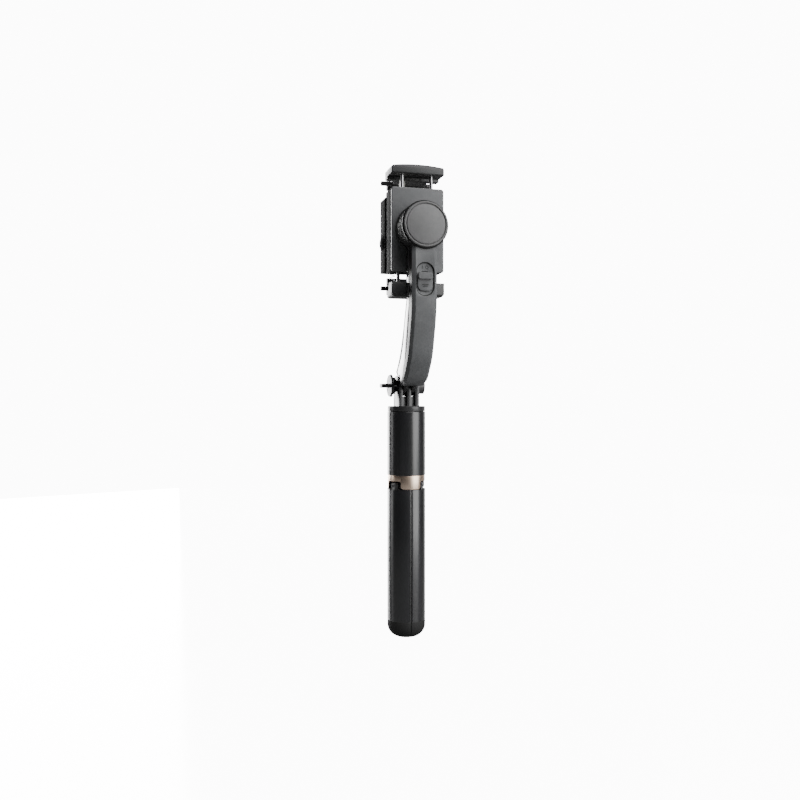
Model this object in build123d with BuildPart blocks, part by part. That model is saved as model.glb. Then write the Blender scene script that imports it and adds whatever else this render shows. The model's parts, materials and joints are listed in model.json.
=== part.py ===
# One-axis motorised phone gimbal on a telescopic stick with fold-out tripod legs.
# Millimetres, +Z up along the stick. The origin is on the stick's axis, halfway up the grip.
# The phone stands behind the clamp, towards +Y. The motor's face looks towards -Y.
# In the notes below, "depth" is the distance from the stick's axis towards -Y.

import os
from math import atan, cos, pi, radians, sin, sqrt, tan

from build123d import *

os.makedirs("parts", exist_ok=True)

# ---------------------------------------------------------------- driving dimensions

# fits
running_gap = 0.05  # radial, between a shaft and the hole it turns or slides in
seat_gap = 0.02  # between pieces that are fixed to each other
slide_gap = 0.15  # between flat faces that pass each other
part_gap = 0.5  # between mouldings that swing apart

# stick
handle_radius = 14.0
grip_length = 46.6
grip_wall = 2.2
tube_radius = 8.0
tube_wall = 0.5
tube_length = 127.8
stage_count = 5
stage_step = 0.8
bush_height = 6.0
mouth_height = 1.2
plug_height = 2.2

# leg ring and legs
band_height = 4.1
ring_inset = 0.3
ring_wall = 1.05
tab_height = 5.7
tab_gap_angle = 54.0
tab_corner = 2.0
hinge_inset = 3.6
hinge_drop = 6.7
pin_radius = 1.0
pin_length = 10.0
knuckle_radius = 2.1
knuckle_width = 7.0
leg_length = 96.0
leg_wall = 2.0
leg_block = 4.4
leg_floor = 3.6
seam_gap = 0.5
foot_height = 12.6
foot_round = 9.0
foot_peg_radius = 2.6

# head of the stick, with its three prongs
cap_radius = 13.8
cap_height = 3.8
cap_gap = 0.3
rod_seat_depth = 9.0
prong_thick = 3.0
prong_pitch = 6.2
prong_radius = 7.5
pivot_above_cap = 14.9
web_half_depth = 6.0
screw_radius = 2.5
nut_boss_radius = 6.0
nut_boss_length = 5.0
nut_across_flats = 8.0
nut_thick = 4.0

# thumb knob
knob_hub_length = 3.8
knob_flange_radius = 8.4
knob_flange_thick = 1.5
knob_wing_length = 6.5
knob_wing_width = 11.0
knob_wing_thick = 3.0

# arm
arm_width = 18.0
arm_edge_round = 2.2
arm_front_depth = 48.0
arm_back_depth = 31.8
arm_wall = 1.8
arm_front_wall = 2.8
front_cover_depth = 9.1
bend_above_pivot = 59.7
cell_above_pivot = 36.7
board_above_pivot = 54.2
cavity_below_motor = 5.9
arm_screw_radius = 0.8
arm_head_radius = 1.6
arm_head_height = 1.5
arm_screw_length = 9.0
cell_thick = 6.2

# power switch and charge port
switch_above_pivot = 72.5
dish_length = 23.5
dish_width = 13.4
dish_depth = 1.2
slider_length = 12.6
slider_width = 10.4
slider_thick = 1.1
slider_travel = 5.0
slider_neck = 4.0
ridge_length = 4.8
ridge_height = 2.2
port_above_pivot = 60.3
port_depth = 43.65
port_width = 9.0
port_thick = 3.2
port_length = 7.0

# motor
motor_above_pivot = 109.9
motor_radius = 16.75
motor_length = 17.0
motor_wall = 2.1
flute_count = 60
flute_radius = 0.55
cap_face_radius = 15.6
cap_face_thick = 1.9
cap_disc_radius = 13.6
cap_groove_width = 0.8
cap_groove_depth = 0.9
shaft_radius = 1.5
bearing_radius = 3.0
stator_play = 2.8
tooth_count = 9
magnet_count = 14
rotor_play = 0.8
rotor_wall = 1.1
neck_radius = 5.6

# clamp
clamp_width = 38.4
clamp_height = 59.6
clamp_drop = 0.3
clamp_corner = 2.0
clamp_wall = 3.0
plate_face_depth = 30.2
plate_thick = 2.0
front_shell_length = 14.2
rear_shell_margin = 0.8
pad_thick = 1.0
pad_width = 34.0
pad_height = 50.0
side_cap_radius = 6.3
side_cap_proud = 1.9

# jaws, their rods and their rack and pinion
phone_height = 75.7
phone_drop = 34.0
phone_thick = 8.3
hook_thick = 2.8
hook_reach = 5.0
tongue_thick = 2.0
tongue_width = 24.0
jaw_pad_thick = 1.0
visor_width = 38.6
visor_front_depth = 31.0
visor_back_depth = 18.0
visor_lap = 2.1
visor_end_height = 5.1
visor_crest = 1.4
carriage_lap = 3.9
chin_height = 9.9
chin_drop = 3.2
rod_radius = 1.2
rod_depth = 26.5
upper_rod_spread = 10.7
lower_rod_spread = 13.5
bar_width = 39.0
bar_height = 3.0
bar_thick = 3.2
gear_module = 0.8
gear_teeth = 12
gear_thick = 4.4
gear_depth = 14.5
gear_backlash = 0.2
rack_addendum = 0.5
rack_back = 3.4
spring_radius = 1.9
spring_wire_radius = 0.25
spring_turns = 14
spring_offset = 13.0
spring_depth = 8.5
spring_anchor = 13.0

# ---------------------------------------------------------------- levels worked out from them

grip_top = grip_length / 2
grip_bottom = -grip_top
ring_top = grip_bottom
band_bottom = ring_top - band_height
tab_bottom = band_bottom - tab_height
hinge_level = ring_top - hinge_drop
hinge_radius_from_axis = handle_radius - hinge_inset
leg_top = tab_bottom - part_gap
leg_bottom = leg_top - leg_length
foot_bottom = leg_bottom - foot_height
ring_radius = handle_radius - ring_inset
ring_bore = ring_radius - ring_wall
hub_radius = ring_bore - seat_gap
tube_top = grip_top - 0.5
tube_bottom = tube_top - tube_length
stage_bottom = tube_bottom + plug_height
leg_bore = tube_radius + 0.6
peg_reach = 0.75 * hinge_radius_from_axis

cap_bottom = grip_top + cap_gap
cap_top = cap_bottom + cap_height
pivot_level = cap_top + pivot_above_cap
web_top = pivot_level - prong_radius - 0.4
prong_outer_face = prong_pitch + prong_thick / 2
nut_boss_face = prong_outer_face + nut_boss_length

motor_height = pivot_level + motor_above_pivot
bend_top = pivot_level + bend_above_pivot
switch_height = pivot_level + switch_above_pivot
port_height = pivot_level + port_above_pivot
cavity_low = pivot_level + cell_above_pivot
cavity_step = pivot_level + board_above_pivot
cavity_high = motor_height - motor_radius - cavity_below_motor

motor_back_depth = arm_back_depth - 0.2
motor_front_depth = motor_back_depth + motor_length
rotor_radius = motor_radius - motor_wall - rotor_play
stator_radius = rotor_radius - stator_play
clamp_centre = motor_height - clamp_drop
plate_back_depth = plate_face_depth - plate_thick
shell_split_depth = plate_back_depth - front_shell_length
clamp_bottom = clamp_centre - clamp_height / 2
phone_low = clamp_centre - phone_drop
phone_high = phone_low + phone_height
visor_low = phone_high - visor_lap
carriage_low = phone_high - carriage_lap
chin_top = phone_low - chin_drop
phone_front_y = pad_thick
phone_back_y = phone_front_y + phone_thick
hook_y = phone_back_y + 0.9
pitch_radius = gear_module * gear_teeth / 2

leg_angles = (90.0, 210.0, 330.0)
pivot_axis = Axis((0, 0, pivot_level), (1, 0, 0))
side_view = Plane(origin=(0, 0, 0), x_dir=(0, -1, 0), z_dir=(-1, 0, 0))


def facing(depth, height=0.0, across=0.0):
    """The plane that looks towards -Y, at a depth, with its origin on X = across, Z = height."""
    return Plane(origin=(across, -depth, height), x_dir=(1, 0, 0), z_dir=(0, -1, 0))


def spoke(angle):
    """The upright plane through the stick's axis at an angle: its x is the radius, its y is Z."""
    outward = Vector(cos(radians(angle)), sin(radians(angle)), 0)
    across = Vector(sin(radians(angle)), -cos(radians(angle)), 0)
    return Plane(origin=(0, 0, 0), x_dir=outward, z_dir=across)


def wedge_corners(angle, half_angle, inset, reach=60.0):
    """The three corners of a plan-view wedge whose sides are inset from the radial planes."""
    start = inset / sin(radians(half_angle))
    tip = (start * cos(radians(angle)), start * sin(radians(angle)))
    ends = []
    for side in (-half_angle, half_angle):
        turn = radians(angle + side)
        ends.append((tip[0] + reach * cos(turn), tip[1] + reach * sin(turn)))
    return [tip, ends[0], ends[1]]


# ---------------------------------------------------------------- stick: tube, stages, grip

for stage in range(stage_count + 1):
    outer = tube_radius - stage * stage_step
    bore = outer - tube_wall
    mouth = bore - tube_wall / 2
    low = stage_bottom
    high = grip_top - 0.1
    name = f"rod_stage_{stage}"
    if stage == 0:
        low = tube_bottom
        high = tube_top
        name = "outer_tube"
    if stage == stage_count:
        high = cap_bottom + rod_seat_depth
    if stage < stage_count:
        mouth = outer - stage_step + running_gap
    with BuildPart() as tube:
        with BuildSketch(Plane.XZ):
            with BuildLine():
                Polyline(
                    (bore, low),
                    (outer, low),
                    (outer, high),
                    (mouth, high),
                    (mouth, high - mouth_height),
                    (bore, high - mouth_height),
                    close=True,
                )
            make_face()
        revolve(axis=Axis.Z)
    tube.part.label = name
    export_step(tube.part, f"parts/{name}.step")

# A plastic bush round the foot of each stage slides in the stage outside it.
for stage in range(1, stage_count + 1):
    stage_outer = tube_radius - stage * stage_step
    slide_radius = stage_outer + stage_step - tube_wall - running_gap
    with BuildPart() as stage_bush:
        with BuildSketch(Plane.XY.offset(stage_bottom)):
            Circle(slide_radius)
            Circle(stage_outer + seat_gap / 2, mode=Mode.SUBTRACT)
        extrude(amount=bush_height)
    stage_bush.part.label = f"stage_bush_{stage}"
    export_step(stage_bush.part, f"parts/stage_bush_{stage}.step")

with BuildPart() as tube_plug:
    with BuildSketch(Plane.XY.offset(tube_bottom)):
        Circle(tube_radius - tube_wall - seat_gap)
    extrude(amount=plug_height - 0.3)
    with BuildSketch(Plane.XY.offset(tube_bottom - 0.8)):
        Circle(tube_radius)
    extrude(amount=0.8)
tube_plug.part.label = "tube_plug"
export_step(tube_plug.part, "parts/tube_plug.step")

with BuildPart() as grip_sleeve:
    with BuildSketch(Plane.XZ):
        with BuildLine():
            Polyline(
                (handle_radius - grip_wall, grip_bottom),
                (handle_radius, grip_bottom),
                (handle_radius, grip_top),
                (tube_radius + seat_gap, grip_top),
                (tube_radius + seat_gap, grip_top - grip_wall),
                (handle_radius - grip_wall, grip_top - grip_wall),
                close=True,
            )
        make_face()
    revolve(axis=Axis.Z)
    sleeve_rims = grip_sleeve.edges().filter_by(GeomType.CIRCLE)
    fillet([edge for edge in sleeve_rims if abs(edge.radius - handle_radius) < 0.01], radius=0.5)
grip_sleeve.part.label = "grip_sleeve"
export_step(grip_sleeve.part, "parts/grip_sleeve.step")

# ---------------------------------------------------------------- leg hub, ring and hinge pins

with BuildPart() as leg_hub:
    with BuildSketch(Plane.XZ):
        with BuildLine():
            Polyline(
                (tube_radius + seat_gap, tab_bottom),
                (hub_radius, tab_bottom),
                (hub_radius, grip_bottom - seat_gap),
                (handle_radius - grip_wall - seat_gap, grip_bottom - seat_gap),
                (handle_radius - grip_wall - seat_gap, grip_bottom + 6.0),
                (tube_radius + seat_gap, grip_bottom + 6.0),
                close=True,
            )
        make_face()
    revolve(axis=Axis.Z)
    for angle in leg_angles:
        slot_height = (hinge_level + knuckle_radius + 0.5) - tab_bottom
        with BuildSketch(spoke(angle)):
            with Locations((hub_radius / 2 + 3.5, tab_bottom + slot_height / 2)):
                Rectangle(hub_radius, slot_height)
        extrude(amount=knuckle_width / 2 + slide_gap, both=True, mode=Mode.SUBTRACT)
        with BuildSketch(spoke(angle)):
            with Locations((hinge_radius_from_axis, hinge_level)):
                Circle(pin_radius + seat_gap / 2)
        extrude(amount=pin_length / 2 + seat_gap, both=True, mode=Mode.SUBTRACT)
leg_hub.part.label = "leg_hub"
export_step(leg_hub.part, "parts/leg_hub.step")

with BuildPart() as accent_ring:
    with BuildSketch(Plane.XY.offset(tab_bottom)):
        Circle(ring_radius)
        Circle(ring_bore, mode=Mode.SUBTRACT)
    extrude(amount=ring_top - tab_bottom)
    for angle in leg_angles:
        gap_width = 2 * ring_radius * sin(radians(tab_gap_angle / 2))
        outward = Vector(cos(radians(angle)), sin(radians(angle)), 0)
        across = Vector(-sin(radians(angle)), cos(radians(angle)), 0)
        window = Plane(origin=(0, 0, tab_bottom), x_dir=across, z_dir=outward)
        with BuildSketch(window):
            with Locations((0, tab_height / 2 - 2.0)):
                RectangleRounded(gap_width, tab_height + 4.0, 1.2)
            with Locations((0, tab_corner / 2 - 0.5)):
                Rectangle(gap_width + 2 * tab_corner, tab_corner + 1.0)
            with Locations(
                (gap_width / 2 + tab_corner, tab_corner),
                (-gap_width / 2 - tab_corner, tab_corner),
            ):
                Circle(tab_corner, mode=Mode.SUBTRACT)
        extrude(amount=2 * ring_radius, mode=Mode.SUBTRACT)
accent_ring.part.label = "accent_ring"
export_step(accent_ring.part, "parts/accent_ring.step")

with BuildPart() as leg_hinge_pins:
    for angle in leg_angles:
        with BuildSketch(spoke(angle)):
            with Locations((hinge_radius_from_axis, hinge_level)):
                Circle(pin_radius)
        extrude(amount=pin_length / 2, both=True)
leg_hinge_pins.part.label = "leg_hinge_pins"
export_step(leg_hinge_pins.part, "parts/leg_hinge_pins.step")

# ---------------------------------------------------------------- three legs and their feet

for number, angle in enumerate(leg_angles, start=1):
    with BuildPart() as leg_hollow:
        with BuildSketch(spoke(angle)):
            hollow_low = leg_bottom + leg_floor
            hollow_high = leg_top - leg_block
            with Locations(((handle_radius - leg_wall) / 2, (hollow_low + hollow_high) / 2)):
                Rectangle(handle_radius - leg_wall, hollow_high - hollow_low)
        revolve(axis=Axis.Z)
        with BuildSketch(Plane.XY.offset(leg_bottom)):
            with BuildLine():
                Polyline(*wedge_corners(angle, 60.0, seam_gap / 2 + leg_wall), close=True)
            make_face()
        extrude(amount=leg_length, mode=Mode.INTERSECT)

    with BuildPart() as leg:
        with BuildSketch(spoke(angle)):
            with BuildLine():
                Polyline(
                    (0, leg_bottom),
                    (handle_radius, leg_bottom),
                    (handle_radius, leg_top),
                    (leg_bore, leg_top),
                    (leg_bore, tube_bottom - 3.0),
                    (0, tube_bottom - 3.0),
                    close=True,
                )
            make_face()
        revolve(axis=Axis.Z)
        with BuildSketch(Plane.XY.offset(leg_bottom)):
            with BuildLine():
                Polyline(*wedge_corners(angle, 60.0, seam_gap / 2), close=True)
            make_face()
        extrude(amount=leg_length, mode=Mode.INTERSECT)
        add(leg_hollow.part, mode=Mode.SUBTRACT)
        with BuildSketch(spoke(angle)):
            neck_bottom = leg_top - leg_block / 2
            with Locations((hinge_radius_from_axis, hinge_level)):
                Circle(knuckle_radius)
            with Locations((hinge_radius_from_axis, (hinge_level + neck_bottom) / 2)):
                Rectangle(2 * knuckle_radius - 0.6, hinge_level - neck_bottom)
        extrude(amount=knuckle_width / 2, both=True)
        with BuildSketch(spoke(angle)):
            with Locations((hinge_radius_from_axis, hinge_level)):
                Circle(pin_radius + running_gap)
        extrude(amount=knuckle_width, both=True, mode=Mode.SUBTRACT)
        with BuildSketch(Plane.XY.offset(leg_bottom)):
            with Locations((peg_reach * cos(radians(angle)), peg_reach * sin(radians(angle)))):
                Circle(foot_peg_radius + seat_gap)
        extrude(amount=leg_floor, mode=Mode.SUBTRACT)
    leg.part.label = f"leg_{number}"
    export_step(leg.part, f"parts/leg_{number}.step")

    with BuildPart() as foot:
        with BuildSketch(spoke(angle)):
            with BuildLine():
                Line((0, foot_bottom), (0, leg_bottom))
                Line((0, leg_bottom), (handle_radius, leg_bottom))
                Line((handle_radius, leg_bottom), (handle_radius, foot_bottom + foot_round))
                ThreePointArc(
                    (handle_radius, foot_bottom + foot_round),
                    (
                        handle_radius - foot_round * (1 - cos(pi / 4)),
                        foot_bottom + foot_round * (1 - sin(pi / 4)),
                    ),
                    (handle_radius - foot_round, foot_bottom),
                )
                Line((handle_radius - foot_round, foot_bottom), (0, foot_bottom))
            make_face()
        revolve(axis=Axis.Z)
        with BuildSketch(Plane.XY.offset(foot_bottom)):
            with BuildLine():
                Polyline(*wedge_corners(angle, 60.0, seam_gap / 2), close=True)
            make_face()
        extrude(amount=foot_height, mode=Mode.INTERSECT)
        with BuildSketch(Plane.XY.offset(leg_bottom)):
            with Locations((peg_reach * cos(radians(angle)), peg_reach * sin(radians(angle)))):
                Circle(foot_peg_radius)
        extrude(amount=leg_floor)
    foot.part.label = f"foot_{number}"
    export_step(foot.part, f"parts/foot_{number}.step")

# ---------------------------------------------------------------- head of the stick

with BuildPart() as stick_cap:
    with BuildSketch(Plane.XY.offset(cap_bottom)):
        Circle(cap_radius)
    extrude(amount=cap_height)
    fillet(stick_cap.edges().group_by(Axis.Z)[-1], radius=0.8)
    for across in (-prong_pitch, 0.0, prong_pitch):
        with BuildSketch(Plane(origin=(across, 0, 0), x_dir=(0, 1, 0), z_dir=(1, 0, 0))):
            with Locations((0, pivot_level)):
                Circle(prong_radius)
            with Locations((0, (cap_top + pivot_level) / 2 - 0.5)):
                Rectangle(2 * prong_radius, pivot_level - cap_top + 1.0)
        extrude(amount=prong_thick / 2, both=True)
    with BuildSketch(Plane.XY.offset(cap_top - 0.5)):
        Rectangle(2 * prong_pitch, 2 * web_half_depth)
    extrude(amount=web_top - cap_top + 0.5)
    with BuildSketch(Plane(origin=(prong_outer_face, 0, pivot_level), x_dir=(0, 1, 0), z_dir=(1, 0, 0))):
        Circle(nut_boss_radius)
    extrude(amount=nut_boss_length)
    with BuildSketch(Plane(origin=(nut_boss_face, 0, pivot_level), x_dir=(0, 1, 0), z_dir=(-1, 0, 0))):
        RegularPolygon(nut_across_flats / 2 + seat_gap, 6, major_radius=False)
    extrude(amount=nut_thick + 0.2, mode=Mode.SUBTRACT)
    with BuildSketch(Plane(origin=(0, 0, pivot_level), x_dir=(0, 1, 0), z_dir=(1, 0, 0))):
        Circle(screw_radius + running_gap)
    extrude(amount=nut_boss_face + 1.0, both=True, mode=Mode.SUBTRACT)
    with BuildSketch(Plane.XY.offset(cap_bottom)):
        Circle(tube_radius - stage_count * stage_step + running_gap)
    extrude(amount=rod_seat_depth + 0.3, mode=Mode.SUBTRACT)
stick_cap.part.label = "stick_cap"
export_step(stick_cap.part, "parts/stick_cap.step")

with BuildPart() as pivot_nut:
    with BuildSketch(Plane(origin=(nut_boss_face - 0.2, 0, pivot_level), x_dir=(0, 1, 0), z_dir=(-1, 0, 0))):
        RegularPolygon(nut_across_flats / 2 - seat_gap, 6, major_radius=False)
        Circle(screw_radius + running_gap, mode=Mode.SUBTRACT)
    extrude(amount=nut_thick - 0.1)
pivot_nut.part.label = "pivot_nut"
export_step(pivot_nut.part, "parts/pivot_nut.step")

# ---------------------------------------------------------------- thumb knob and its screw

knob_near = -(prong_outer_face + slide_gap)
hub_far = knob_near - knob_hub_length
flange_far = hub_far - knob_flange_thick
wing_far = flange_far - knob_wing_length
screw_far = flange_far + 0.6

with BuildPart() as pivot_screw:
    with BuildSketch(Plane(origin=(screw_far, 0, pivot_level), x_dir=(0, 1, 0), z_dir=(1, 0, 0))):
        Circle(screw_radius)
    extrude(amount=nut_boss_face - 0.4 - screw_far)
    chamfer(pivot_screw.edges().group_by(Axis.X)[-1], length=0.5)
pivot_screw.part.label = "pivot_screw"
export_step(pivot_screw.part, "parts/pivot_screw.step")

with BuildPart() as thumb_knob:
    with BuildSketch(Plane(origin=(0, 0, pivot_level), x_dir=(1, 0, 0), z_dir=(0, 0, 1))):
        with BuildLine():
            Polyline(
                (knob_near, 0),
                (knob_near, 4.2),
                (knob_near - 0.8, 4.2),
                (hub_far, 6.4),
                (hub_far, knob_flange_radius),
                (flange_far, knob_flange_radius - 0.5),
                (flange_far, 0),
                close=True,
            )
        make_face()
    revolve(axis=pivot_axis)
    with BuildSketch(Plane(origin=(0, 0, pivot_level), x_dir=(1, 0, 0), z_dir=(0, 0, 1))):
        with Locations(((hub_far + wing_far) / 2, 0)):
            Rectangle(hub_far - wing_far, knob_wing_width)
    extrude(amount=knob_wing_thick / 2, both=True)
    wing_tips = thumb_knob.edges().filter_by(Axis.Z).group_by(Axis.X)[0]
    fillet(wing_tips, radius=3.0)
    fillet(thumb_knob.faces().sort_by(Axis.X)[0].edges(), radius=0.9)
    with BuildSketch(Plane(origin=(knob_near - 0.9, 0, pivot_level), x_dir=(0, 1, 0), z_dir=(-1, 0, 0))):
        with PolarLocations(4.9, 8):
            Rectangle(2.6, 1.0)
    extrude(amount=knob_hub_length - 0.9)
    with BuildSketch(Plane(origin=(knob_near, 0, pivot_level), x_dir=(0, 1, 0), z_dir=(-1, 0, 0))):
        Circle(screw_radius + seat_gap / 2)
    extrude(amount=knob_near - screw_far + seat_gap, mode=Mode.SUBTRACT)
thumb_knob.part.label = "thumb_knob"
export_step(thumb_knob.part, "parts/thumb_knob.step")


# ---------------------------------------------------------------- arm

# The bent stretch hangs from the straight one and ends square to the pivot. Each curve is
# given as (depth, height) measured from the pivot, so that it follows the pivot's level.
split_depth = arm_front_depth - front_cover_depth
outer_bend = [(42.1, 30.5), (37.4, 17.9), (31.3, 9.3), (25.0, 2.7), (17.0, -0.2)]
split_bend = [(34.4, 30.3), (29.0, 17.7), (24.0, 9.7), (15.5, 2.3)]
inner_bend = [(20.3, 31.2), (12.6, 18.6), (4.2, 9.9)]
arm_outer = [(arm_front_depth, bend_top)] + [(x, pivot_level + z) for x, z in outer_bend]
arm_split = [(split_depth, bend_top)] + [(x, pivot_level + z) for x, z in split_bend]
arm_inner = [(arm_back_depth, bend_top)] + [(x, pivot_level + z) for x, z in inner_bend]
arm_top = motor_height

cavity_back = arm_back_depth + arm_wall
cavity_front = arm_front_depth - arm_front_wall
board_depth = cavity_front - 4.4
cell_depth = cavity_back + 0.3
slider_floor = arm_front_depth - dish_depth
slider_low = switch_height - 8.0
arm_screw_across = arm_width / 2 - 3.6
arm_screw_places = [
    (-arm_screw_across, cavity_high + 3.4, 33.8),
    (arm_screw_across, cavity_high + 3.4, 33.8),
    (-arm_screw_across, cavity_low - 4.5, 27.0),
    (arm_screw_across, cavity_low - 4.5, 27.0),
]

with BuildPart() as arm_front_cover:
    with BuildSketch(side_view):
        with BuildLine():
            Line((split_depth, arm_top), (arm_front_depth, arm_top))
            Line((arm_front_depth, arm_top), arm_outer[0])
            Spline(*arm_outer, tangents=[(0, -1), (-1, -0.1)], tangent_scalars=[1.0, 0.6])
            Line(arm_outer[-1], arm_split[-1])
            Spline(*reversed(arm_split))
            Line(arm_split[0], (split_depth, arm_top))
        make_face()
    extrude(amount=arm_width / 2, both=True)
    side_edges = ShapeList(
        edge for edge in arm_front_cover.edges() if abs(abs(edge.center().X) - arm_width / 2) < 0.01
    )
    straight_edges = ShapeList(
        edge for edge in side_edges if abs(edge.center().Y + arm_front_depth) < 0.01
    )
    curved_edges = side_edges.filter_by(GeomType.LINE, reverse=True).sort_by(SortBy.LENGTH)[-2:]
    chamfer(straight_edges + curved_edges, length=arm_edge_round)
    with BuildSketch(facing(0, motor_height)):
        Circle(motor_radius + seat_gap)
    extrude(amount=arm_front_depth + 1.0, mode=Mode.SUBTRACT)
    with BuildSketch(facing(split_depth - 6.0, (cavity_step + cavity_high) / 2)):
        Rectangle(arm_width - 2 * arm_wall, cavity_high - cavity_step)
    extrude(amount=arm_front_depth - arm_front_wall - split_depth + 6.0, mode=Mode.SUBTRACT)
    with BuildSketch(facing(split_depth - 6.0, (cavity_low + cavity_high) / 2)):
        Rectangle(arm_width - 2 * arm_wall, cavity_high - cavity_low)
    extrude(amount=cavity_back + cell_thick + 0.6 - split_depth + 6.0, mode=Mode.SUBTRACT)
    with BuildSketch(facing(arm_front_depth - dish_depth, switch_height)):
        SlotOverall(dish_length, dish_width, rotation=90)
    extrude(amount=2 * dish_depth, mode=Mode.SUBTRACT)
    with BuildSketch(facing(split_depth, slider_low + slider_length / 2 + slider_travel / 2)):
        Rectangle(slider_neck + 2 * slide_gap, slider_neck + slider_travel + 2 * slide_gap)
    extrude(amount=arm_front_depth - split_depth, mode=Mode.SUBTRACT)
    with BuildSketch(Plane(origin=(0, -port_depth, port_height), x_dir=(0, 0, 1), z_dir=(1, 0, 0))):
        SlotOverall(port_width + 2 * slide_gap, port_thick + 2 * slide_gap)
    extrude(amount=arm_width, mode=Mode.SUBTRACT)
    for across, height, head_depth in arm_screw_places:
        with BuildSketch(facing(0, height, across)):
            Circle(arm_screw_radius + seat_gap)
        extrude(amount=head_depth + arm_screw_length + 0.3, mode=Mode.SUBTRACT)
arm_front_cover.part.label = "arm_front_cover"
export_step(arm_front_cover.part, "parts/arm_front_cover.step")

with BuildPart() as arm_rear_shell:
    with BuildSketch(side_view):
        with BuildLine():
            Line((arm_back_depth, arm_top), (split_depth, arm_top))
            Line((split_depth, arm_top), arm_split[0])
            Spline(*arm_split)
            Line(arm_split[-1], arm_inner[-1])
            Spline(*reversed(arm_inner))
            Line(arm_inner[0], (arm_back_depth, arm_top))
        make_face()
    extrude(amount=arm_width / 2, both=True)
    with BuildSketch(facing(0, motor_height)):
        Circle(motor_radius + seat_gap)
    extrude(amount=arm_front_depth, mode=Mode.SUBTRACT)
    with BuildSketch(facing(arm_back_depth + arm_wall, (cavity_low + cavity_high) / 2)):
        Rectangle(arm_width - 2 * arm_wall, cavity_high - cavity_low)
    extrude(amount=arm_front_depth, mode=Mode.SUBTRACT)
    for across in (-prong_pitch / 2, prong_pitch / 2):
        with BuildSketch(Plane(origin=(across, 0, 0), x_dir=(0, -1, 0), z_dir=(-1, 0, 0))):
            with Locations((0, pivot_level)):
                Circle(prong_radius)
            with BuildLine():
                Polyline(
                    (-0.53 * prong_radius, pivot_level + 0.85 * prong_radius),
                    (4.2, pivot_level + 9.9),
                    (10.0, pivot_level + 12.7),
                    (20.0, pivot_level + 6.3),
                    (15.5, pivot_level + 2.3),
                    (0.53 * prong_radius, pivot_level - 0.85 * prong_radius),
                    close=True,
                )
            make_face()
        extrude(amount=(prong_pitch - prong_thick) / 2 - slide_gap, both=True)
    with BuildSketch(Plane(origin=(0, 0, pivot_level), x_dir=(0, 1, 0), z_dir=(1, 0, 0))):
        Circle(screw_radius + running_gap)
    extrude(amount=arm_width, both=True, mode=Mode.SUBTRACT)
    for across, height, head_depth in arm_screw_places:
        with BuildSketch(facing(0, height, across)):
            Circle(arm_screw_radius + seat_gap)
        extrude(amount=arm_front_depth, mode=Mode.SUBTRACT)
        with BuildSketch(facing(0, height, across)):
            Circle(arm_head_radius + slide_gap)
        extrude(amount=head_depth, mode=Mode.SUBTRACT)
arm_rear_shell.part.label = "arm_rear_shell"
export_step(arm_rear_shell.part, "parts/arm_rear_shell.step")

with BuildPart() as arm_screws:
    for across, height, head_depth in arm_screw_places:
        with BuildSketch(facing(head_depth - arm_head_height, height, across)):
            Circle(arm_head_radius)
            RegularPolygon(0.9, 6, mode=Mode.SUBTRACT)
        extrude(amount=arm_head_height - 0.6)
        with BuildSketch(facing(head_depth - 0.6, height, across)):
            Circle(arm_head_radius)
        extrude(amount=0.6)
        with BuildSketch(facing(head_depth, height, across)):
            Circle(arm_screw_radius)
        extrude(amount=arm_screw_length)
arm_screws.part.label = "arm_screws"
export_step(arm_screws.part, "parts/arm_screws.step")

# ---------------------------------------------------------------- what the arm holds


with BuildPart() as battery:
    with BuildSketch(facing(cell_depth, (cavity_low + cavity_high) / 2)):
        RectangleRounded(arm_width - 2 * arm_wall - 1.0, cavity_high - cavity_low - 6.0, 2.0)
    extrude(amount=cell_thick)
battery.part.label = "battery"
export_step(battery.part, "parts/battery.step")

with BuildPart() as main_board:
    with BuildSketch(facing(board_depth, (cavity_step + cavity_high) / 2)):
        Rectangle(arm_width - 2 * arm_wall - 0.8, cavity_high - cavity_step - 1.0)
    extrude(amount=1.2)
    with BuildSketch(facing(board_depth + 1.2, cavity_step + 3.6)):
        with Locations((-4.2, 0.4), (-4.2, 6.0)):
            Rectangle(4.0, 4.0)
    extrude(amount=0.9)
main_board.part.label = "main_board"
export_step(main_board.part, "parts/main_board.step")

with BuildPart() as switch_body:
    with BuildSketch(facing(board_depth + 1.2, slider_low + slider_length / 2 + slider_travel / 2)):
        RectangleRounded(6.4, 15.0, 0.5)
    extrude(amount=2.6)
switch_body.part.label = "switch_body"
export_step(switch_body.part, "parts/switch_body.step")

with BuildPart() as charge_port:
    port_mouth = arm_width / 2 - 0.3
    port_start = (port_mouth - port_length, -port_depth, port_height)
    tongue_start = (port_mouth - 6.6, -port_depth, port_height)
    with BuildSketch(Plane(origin=port_start, x_dir=(0, 0, 1), z_dir=(1, 0, 0))):
        SlotOverall(port_width, port_thick)
    extrude(amount=port_length)
    with BuildSketch(Plane(origin=(port_mouth, -port_depth, port_height), x_dir=(0, 0, 1), z_dir=(-1, 0, 0))):
        SlotOverall(port_width - 0.7, port_thick - 0.7)
    extrude(amount=6.2, mode=Mode.SUBTRACT)
    with BuildSketch(Plane(origin=tongue_start, x_dir=(0, 0, 1), z_dir=(1, 0, 0))):
        Rectangle(port_width - 2.4, 0.7)
    extrude(amount=5.2)
charge_port.part.label = "charge_port"
export_step(charge_port.part, "parts/charge_port.step")

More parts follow.
